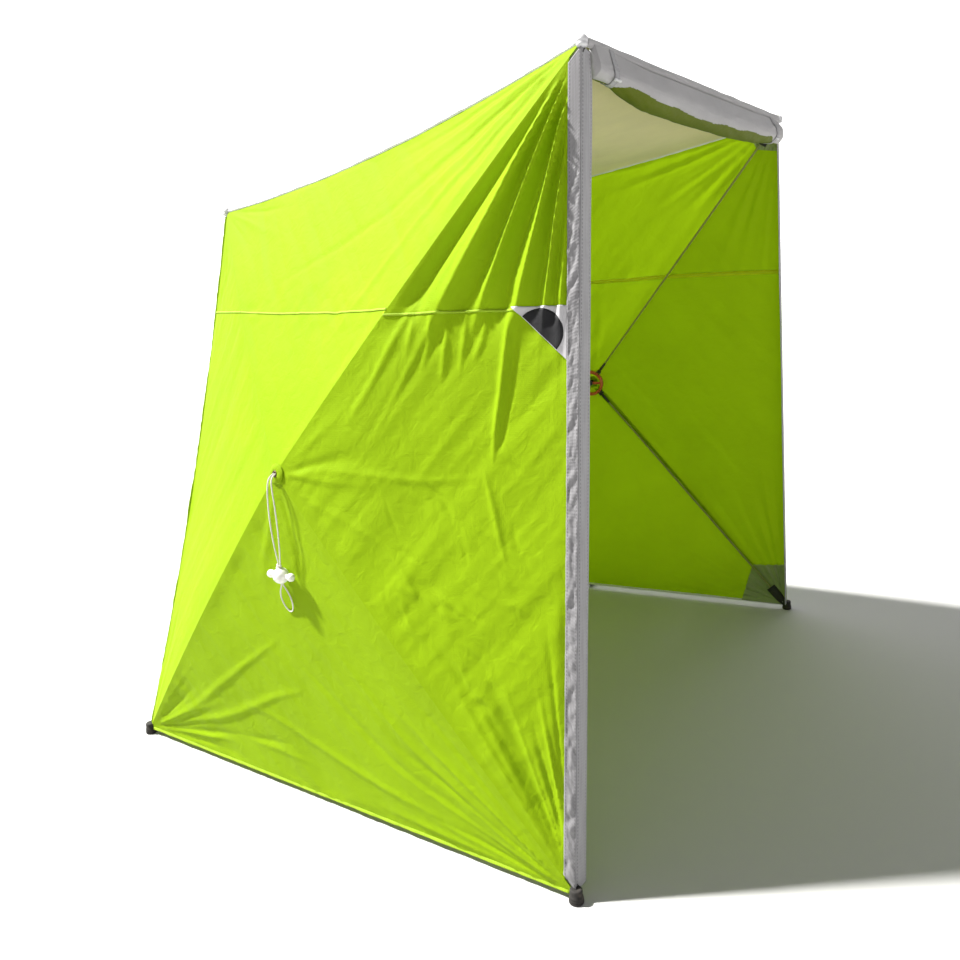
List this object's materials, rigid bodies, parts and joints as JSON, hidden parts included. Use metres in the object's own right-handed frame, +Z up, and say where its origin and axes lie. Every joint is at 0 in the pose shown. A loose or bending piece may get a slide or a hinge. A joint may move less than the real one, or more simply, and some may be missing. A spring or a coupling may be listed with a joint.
{
  "type": "pop-up work tent",
  "caption": "Pop-up shelter with hub-and-rod fabric walls that fold inwards, a sloping cloth roof and an open front with its door rolled up.",
  "frame": {"origin": "centre of the footprint's bounding box, on the ground", "axes": "+Z up, the open front faces -Y, the wall with the pull cord is at -X"},
  "size_m": [2.1322, 1.9144, 1.994],
  "materials": {
    "lime_cloth": "matt woven polyester, fluorescent",
    "white_cloth": "matt woven",
    "roof_cloth": "matt coated cloth",
    "tape": "woven tape",
    "rod": "pultruded glass fibre",
    "hub": "moulded",
    "boot": "matt",
    "cap": "moulded",
    "ball": "moulded, scuffed",
    "cord": "braided"
  },
  "bodies": {
    "left_hub": {"left_hub": "hub"},
    "left_top_facet": {"left_top_facet": "lime_cloth"},
    "left_rear_facet": {"left_rear_facet": "lime_cloth"},
    "left_bottom_facet": {"left_bottom_facet": "lime_cloth"},
    "left_pull": {"pull_cord_front_strand": "cord", "pull_cord_rear_strand": "cord", "pull_cord_hand_loop": "cord", "pull_ball": "ball"},
    "left_front_facet": {"left_front_facet": "lime_cloth", "badge_patch": "white_cloth"},
    "left_front_upper_rod": {"left_front_upper_rod": "rod"},
    "left_rear_upper_rod": {"left_rear_upper_rod": "rod"},
    "left_rear_lower_rod": {"left_rear_lower_rod": "rod"},
    "left_front_lower_rod": {"left_front_lower_rod": "rod"},
    "right_hub": {"right_hub": "hub"},
    "right_top_facet": {"right_top_facet": "lime_cloth"},
    "right_front_facet": {"right_front_facet": "lime_cloth"},
    "right_bottom_facet": {"right_bottom_facet": "lime_cloth"},
    "right_rear_facet": {"right_rear_facet": "lime_cloth"},
    "right_rear_upper_rod": {"right_rear_upper_rod": "rod"},
    "right_front_upper_rod": {"right_front_upper_rod": "rod"},
    "right_front_lower_rod": {"right_front_lower_rod": "rod"},
    "right_rear_lower_rod": {"right_rear_lower_rod": "rod"},
    "rear_hub": {"rear_hub": "hub"},
    "rear_top_facet": {"rear_top_facet": "lime_cloth"},
    "rear_right_facet": {"rear_right_facet": "lime_cloth"},
    "rear_bottom_facet": {"rear_bottom_facet": "lime_cloth"},
    "rear_left_facet": {"rear_left_facet": "lime_cloth"},
    "rear_left_upper_rod": {"rear_left_upper_rod": "rod"},
    "rear_right_upper_rod": {"rear_right_upper_rod": "rod"},
    "rear_right_lower_rod": {"rear_right_lower_rod": "rod"},
    "rear_left_lower_rod": {"rear_left_lower_rod": "rod"},
    "frame": {"roof_panel": "roof_cloth", "roof_left_binding": "white_cloth", "roof_right_binding": "white_cloth", "roof_rear_binding": "white_cloth", "rear_left_binding": "lime_cloth", "rear_right_binding": "lime_cloth", "left_hem": "white_cloth", "right_hem": "white_cloth", "rear_hem": "white_cloth", "front_left_side_tape": "tape", "front_left_face_tape": "tape", "front_right_face_tape": "tape", "header_band": "white_cloth", "door_roll": "white_cloth", "left_toggle_loop": "tape", "right_toggle_loop": "tape", "front_left_foot": "boot", "front_left_cap": "cap", "front_right_foot": "boot", "front_right_cap": "cap", "rear_left_foot": "boot", "rear_left_cap": "cap", "rear_right_foot": "boot", "rear_right_cap": "cap", "right_stake_loop": "boot", "rear_stake_loop": "boot"}
  },
  "joints": [
    {"name": "left_hub_pop", "type": "slide", "parent": "frame", "child": "left_hub", "axis": [0.9636, -0.1498, -0.2214], "range_m": [0, 0.496]},
    {"name": "left_top_facet_fold", "type": "hinge", "parent": "frame", "child": "left_top_facet", "pos_m": [-0.57213, -0.06823, 1.865], "axis": [-0.2125, -0.9659, 0.1481], "range_deg": [0, 29.92]},
    {"name": "left_rear_facet_fold", "type": "hinge", "parent": "frame", "child": "left_rear_facet", "pos_m": [-0.67213, 0.73677, 0.885], "axis": [0.2924, -0.0607, 0.9544], "range_deg": [0, 34.88]},
    {"name": "left_bottom_facet_fold", "type": "hinge", "parent": "frame", "child": "left_bottom_facet", "pos_m": [-0.99213, -0.04323, 0.02], "axis": [0.0657, 0.9978, 0], "range_deg": [0, 29.77]},
    {"name": "left_pull_swing", "type": "hinge", "parent": "left_hub", "child": "left_pull", "pos_m": [-1.02111, -0.01858, 0.9974], "axis": [0.0657, 0.9978, 0], "range_deg": [0, 29.77]},
    {"name": "left_front_facet_fold", "type": "hinge", "parent": "frame", "child": "left_front_facet", "pos_m": [-0.89644, -0.82057, 0.99984], "axis": [-0.1561, -0.0302, -0.9873], "range_deg": [0, 35.89]},
    {"name": "left_front_upper_rod_pivot", "type": "hinge", "parent": "left_hub", "child": "left_front_upper_rod", "pos_m": [-0.98825, -0.06245, 1.04362], "axis": [-0.2521, -0.785, -0.566], "range_deg": [0, 23.37]},
    {"name": "left_rear_upper_rod_pivot", "type": "hinge", "parent": "left_hub", "child": "left_rear_upper_rod", "pos_m": [-0.97665, 0.02003, 1.03831], "axis": [0.0367, -0.7463, 0.6646], "range_deg": [0, 26.12]},
    {"name": "left_rear_lower_rod_pivot", "type": "hinge", "parent": "left_hub", "child": "left_rear_lower_rod", "pos_m": [-0.9986, 0.02105, 0.94206], "axis": [0.2586, 0.7326, 0.6296], "range_deg": [0, 23.85]},
    {"name": "left_front_lower_rod_pivot", "type": "hinge", "parent": "left_hub", "child": "left_front_lower_rod", "pos_m": [-1.01162, -0.06523, 0.94379], "axis": [-0.0348, 0.7509, -0.6595], "range_deg": [0, 23.88]},
    {"name": "right_hub_pop", "type": "slide", "parent": "frame", "child": "right_hub", "axis": [-0.9838, -0.1174, -0.1355], "range_m": [0, 0.496]},
    {"name": "right_top_facet_fold", "type": "hinge", "parent": "frame", "child": "right_top_facet", "pos_m": [0.69787, -0.07823, 1.865], "axis": [-0.136, 0.9813, -0.136], "range_deg": [0, 30.57]},
    {"name": "right_front_facet_fold", "type": "hinge", "parent": "frame", "child": "right_front_facet", "pos_m": [0.91787, -0.92323, 1], "axis": [-0.1065, 0.0152, 0.9942], "range_deg": [0, 32.34]},
    {"name": "right_bottom_facet_fold", "type": "hinge", "parent": "frame", "child": "right_bottom_facet", "pos_m": [0.94787, -0.04323, 0.02], "axis": [0.0835, -0.9965, 0], "range_deg": [0, 30.31]},
    {"name": "right_rear_facet_fold", "type": "hinge", "parent": "frame", "child": "right_rear_facet", "pos_m": [0.72787, 0.80177, 0.885], "axis": [0.1651, 0.0569, -0.9846], "range_deg": [0, 32.48]},
    {"name": "right_rear_upper_rod_pivot", "type": "hinge", "parent": "right_hub", "child": "right_rear_upper_rod", "pos_m": [1.0275, 0.01113, 1.01811], "axis": [0.0131, 0.7068, -0.7073], "range_deg": [0, 25.82]},
    {"name": "right_front_upper_rod_pivot", "type": "hinge", "parent": "right_hub", "child": "right_front_upper_rod", "pos_m": [1.03729, -0.07685, 1.02323], "axis": [-0.1767, 0.7631, 0.6217], "range_deg": [0, 22.52]},
    {"name": "right_front_lower_rod_pivot", "type": "hinge", "parent": "right_hub", "child": "right_front_lower_rod", "pos_m": [1.05112, -0.07967, 0.92528], "axis": [-0.0083, -0.7254, 0.6883], "range_deg": [0, 23.43]},
    {"name": "right_rear_lower_rod_pivot", "type": "hinge", "parent": "right_hub", "child": "right_rear_lower_rod", "pos_m": [1.04028, 0.0113, 0.9252], "axis": [0.1787, -0.7043, -0.687], "range_deg": [0, 23.23]},
    {"name": "rear_hub_pop", "type": "slide", "parent": "frame", "child": "rear_hub", "axis": [0.0463, -0.9969, -0.0637], "range_m": [0, 0.38]},
    {"name": "rear_top_facet_fold", "type": "hinge", "parent": "frame", "child": "rear_top_facet", "pos_m": [0.08787, 0.71677, 1.75], "axis": [-0.9975, -0.0705, 0], "range_deg": [0, 25.22]},
    {"name": "rear_right_facet_fold", "type": "hinge", "parent": "frame", "child": "rear_right_facet", "pos_m": [0.72787, 0.80177, 0.885], "axis": [-0.1651, -0.0569, 0.9846], "range_deg": [0, 31.25]},
    {"name": "rear_bottom_facet_fold", "type": "hinge", "parent": "frame", "child": "rear_bottom_facet", "pos_m": [-0.03213, 0.82177, 0.02], "axis": [0.9995, 0.0331, 0], "range_deg": [0, 25.23]},
    {"name": "rear_left_facet_fold", "type": "hinge", "parent": "frame", "child": "rear_left_facet", "pos_m": [-0.67213, 0.73677, 0.885], "axis": [-0.2924, 0.0607, -0.9544], "range_deg": [0, 32.13]},
    {"name": "rear_left_upper_rod_pivot", "type": "hinge", "parent": "rear_hub", "child": "rear_left_upper_rod", "pos_m": [-0.0092, 0.92563, 0.9541], "axis": [-0.8928, -0.0127, -0.4503], "range_deg": [0, 24.19]},
    {"name": "rear_right_upper_rod_pivot", "type": "hinge", "parent": "rear_hub", "child": "rear_right_upper_rod", "pos_m": [0.05604, 0.92887, 0.95082], "axis": [-0.8401, -0.0734, 0.5375], "range_deg": [0, 22.83]},
    {"name": "rear_right_lower_rod_pivot", "type": "hinge", "parent": "rear_hub", "child": "rear_right_lower_rod", "pos_m": [0.06636, 0.93591, 0.84826], "axis": [0.7158, -0.0114, 0.6982], "range_deg": [0, 19.33]},
    {"name": "rear_left_lower_rod_pivot", "type": "hinge", "parent": "rear_hub", "child": "rear_left_lower_rod", "pos_m": [-0.02874, 0.9313, 0.85123], "axis": [0.6664, 0.0783, -0.7414], "range_deg": [0, 18.05]}
  ],
  "couplings": [
    {"joint": "left_top_facet_fold", "follows": "left_hub_pop", "rad_per_m": 1.0353},
    {"joint": "left_rear_facet_fold", "follows": "left_hub_pop", "rad_per_m": 1.2099},
    {"joint": "left_bottom_facet_fold", "follows": "left_hub_pop", "rad_per_m": 1.0299},
    {"joint": "left_pull_swing", "follows": "left_hub_pop", "rad_per_m": 1.0299},
    {"joint": "left_front_facet_fold", "follows": "left_hub_pop", "rad_per_m": 1.2452},
    {"joint": "left_front_upper_rod_pivot", "follows": "left_hub_pop", "rad_per_m": 0.8047},
    {"joint": "left_rear_upper_rod_pivot", "follows": "left_hub_pop", "rad_per_m": 0.90143},
    {"joint": "left_rear_lower_rod_pivot", "follows": "left_hub_pop", "rad_per_m": 0.82167},
    {"joint": "left_front_lower_rod_pivot", "follows": "left_hub_pop", "rad_per_m": 0.82265},
    {"joint": "right_top_facet_fold", "follows": "right_hub_pop", "rad_per_m": 1.0582},
    {"joint": "right_front_facet_fold", "follows": "right_hub_pop", "rad_per_m": 1.1205},
    {"joint": "right_bottom_facet_fold", "follows": "right_hub_pop", "rad_per_m": 1.0491},
    {"joint": "right_rear_facet_fold", "follows": "right_hub_pop", "rad_per_m": 1.1253},
    {"joint": "right_rear_upper_rod_pivot", "follows": "right_hub_pop", "rad_per_m": 0.89083},
    {"joint": "right_front_upper_rod_pivot", "follows": "right_hub_pop", "rad_per_m": 0.77472},
    {"joint": "right_front_lower_rod_pivot", "follows": "right_hub_pop", "rad_per_m": 0.80694},
    {"joint": "right_rear_lower_rod_pivot", "follows": "right_hub_pop", "rad_per_m": 0.79988},
    {"joint": "rear_top_facet_fold", "follows": "rear_hub_pop", "rad_per_m": 1.1353},
    {"joint": "rear_right_facet_fold", "follows": "rear_hub_pop", "rad_per_m": 1.4124},
    {"joint": "rear_bottom_facet_fold", "follows": "rear_hub_pop", "rad_per_m": 1.1357},
    {"joint": "rear_left_facet_fold", "follows": "rear_hub_pop", "rad_per_m": 1.4526},
    {"joint": "rear_left_upper_rod_pivot", "follows": "rear_hub_pop", "rad_per_m": 1.0879},
    {"joint": "rear_right_upper_rod_pivot", "follows": "rear_hub_pop", "rad_per_m": 1.0258},
    {"joint": "rear_right_lower_rod_pivot", "follows": "rear_hub_pop", "rad_per_m": 0.86474},
    {"joint": "rear_left_lower_rod_pivot", "follows": "rear_hub_pop", "rad_per_m": 0.80624}
  ]
}
